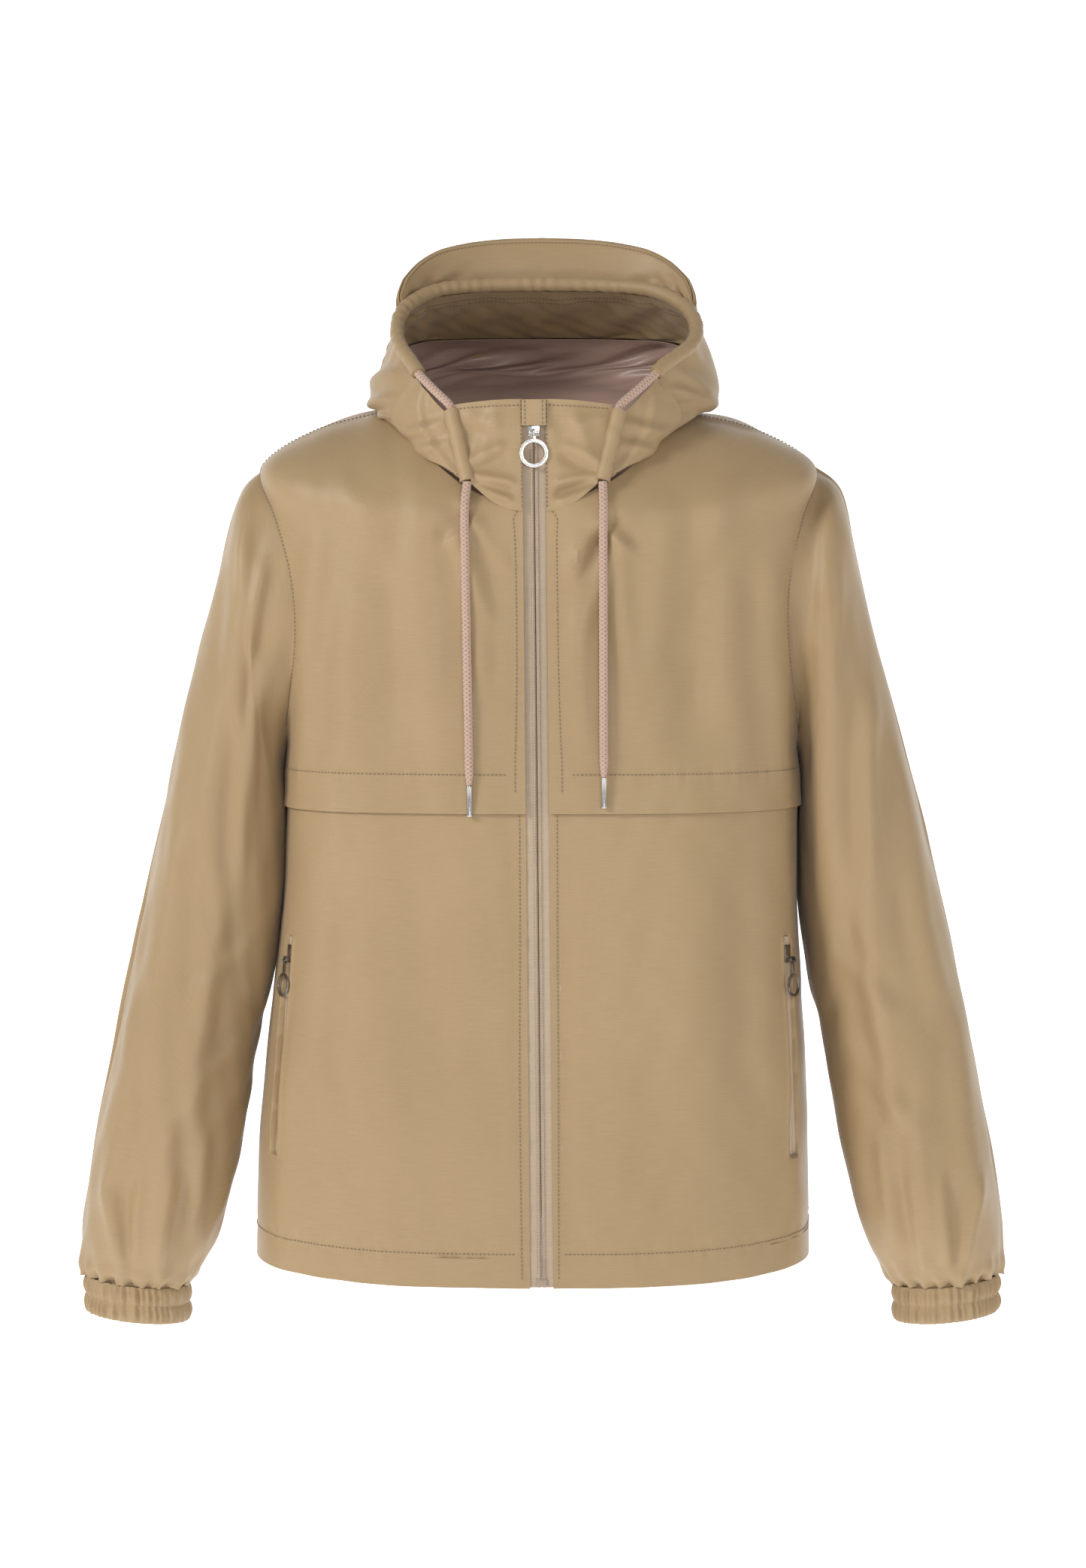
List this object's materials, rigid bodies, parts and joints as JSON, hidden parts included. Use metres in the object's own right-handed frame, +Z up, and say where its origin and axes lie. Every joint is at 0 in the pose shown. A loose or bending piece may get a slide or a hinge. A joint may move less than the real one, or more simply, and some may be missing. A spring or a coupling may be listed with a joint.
{
  "type": "hooded windbreaker jacket",
  "caption": "Hooded hip-length windbreaker with full zip, drawcord hood with a stiffened brim, collar casings, chest fold, two zipped side pockets and elastic cuffs.",
  "frame": {"origin": "centre of the neck at shoulder height, where a hanger or a bust holds the jacket", "axes": "+X towards the wearer's left, -Y towards the front, +Z up"},
  "size_m": [0.6864, 0.2655, 0.8089],
  "materials": {
    "shell": "fine matt woven tan shell cloth with a soft sheen",
    "lining": "shiny mauve-brown satin lining",
    "tape": "pinkish woven zip tape and coil",
    "cord": "pinkish tan braided cord",
    "elastic": "woven white elastic and stiffening",
    "nickel": "bright polished nickel",
    "gunmetal": "antique gunmetal plating"
  },
  "bodies": {
    "shell": {"back_panel": "shell", "right_front_upper": "shell", "left_front_upper": "shell", "right_front_lower": "shell", "left_front_lower": "shell", "right_pocket_bag": "lining", "left_pocket_bag": "lining", "body_lining": "lining", "hem_facing": "shell", "neck_tape": "tape", "hanger_loop": "shell", "right_pocket_zip": "tape", "left_pocket_zip": "tape", "right_collar": "shell", "left_collar": "shell", "right_collar_casing": "shell", "left_collar_casing": "shell", "right_collar_side": "shell", "left_collar_side": "shell", "right_collar_cord": "cord", "left_collar_cord": "cord", "right_drawcord": "cord", "left_drawcord": "cord", "right_aglet": "nickel", "left_aglet": "nickel", "right_zip_tape": "tape", "left_zip_tape": "tape", "right_zip_coil": "tape", "left_zip_coil": "tape", "right_top_stop": "gunmetal", "left_top_stop": "gunmetal", "zip_retainer_box": "tape", "zip_insertion_pin": "tape", "zip_garage": "shell"},
    "main_slider": {"zip_slider": "nickel"},
    "main_pull": {"zip_pull_ring": "nickel"},
    "right_pocket_slider": {"right_pocket_slider": "gunmetal"},
    "left_pocket_slider": {"left_pocket_slider": "gunmetal"},
    "right_pocket_pull": {"right_pocket_pull": "gunmetal"},
    "left_pocket_pull": {"left_pocket_pull": "gunmetal"},
    "right_sleeve": {"right_sleeve": "shell", "right_cuff": "shell", "right_cuff_elastic_upper": "elastic", "right_cuff_elastic_lower": "elastic"},
    "left_sleeve": {"left_sleeve": "shell", "left_cuff": "shell", "left_cuff_elastic_upper": "elastic", "left_cuff_elastic_lower": "elastic"},
    "hood": {"hood_centre_panel": "shell", "hood_left_panel": "shell", "hood_right_panel": "shell", "hood_facing": "shell", "hood_lining": "lining", "hood_casing": "shell", "hood_drawcord": "cord", "hood_visor": "shell", "visor_stiffener": "elastic", "hood_visor_back": "shell"}
  },
  "joints": [
    {"name": "main_zip", "type": "slide", "parent": "shell", "child": "main_slider", "axis": [0.0094, -0.0502, -0.9987], "range_m": [0, 0.59]},
    {"name": "main_pull_swing", "type": "hinge", "parent": "main_slider", "child": "main_pull", "pos_m": [-0.00579, -0.0987, -0.00988], "axis": [-1, -0.0005, -0.0094], "range_deg": [0, 120]},
    {"name": "right_pocket_zip_slide", "type": "slide", "parent": "shell", "child": "right_pocket_slider", "axis": [-0.0698, -0.0615, -0.9957], "range_m": [0, 0.13]},
    {"name": "right_pocket_pull_swing", "type": "hinge", "parent": "right_pocket_slider", "child": "right_pocket_pull", "pos_m": [-0.1883, -0.06216, -0.39405], "axis": [-0.5039, 0.8636, -0.018], "range_deg": [0, 110]},
    {"name": "right_shoulder_lift", "type": "hinge", "parent": "shell", "child": "right_sleeve", "pos_m": [-0.204, 0, -0.033], "axis": [0, 1, 0], "range_deg": [0, 30]},
    {"name": "left_pocket_zip_slide", "type": "slide", "parent": "shell", "child": "left_pocket_slider", "axis": [0.033, -0.0616, -0.9976], "range_m": [0, 0.13]},
    {"name": "left_pocket_pull_swing", "type": "hinge", "parent": "left_pocket_slider", "child": "left_pocket_pull", "pos_m": [0.18382, -0.06216, -0.39412], "axis": [-0.5044, -0.8627, 0.0366], "range_deg": [0, 110]},
    {"name": "left_shoulder_lift", "type": "hinge", "parent": "shell", "child": "left_sleeve", "pos_m": [0.204, 0, -0.033], "axis": [0, -1, 0], "range_deg": [0, 30]},
    {"name": "hood_tip", "type": "hinge", "parent": "shell", "child": "hood", "pos_m": [0, 0.086, 0.012], "axis": [-1, 0, 0], "range_deg": [0, 20]}
  ]
}
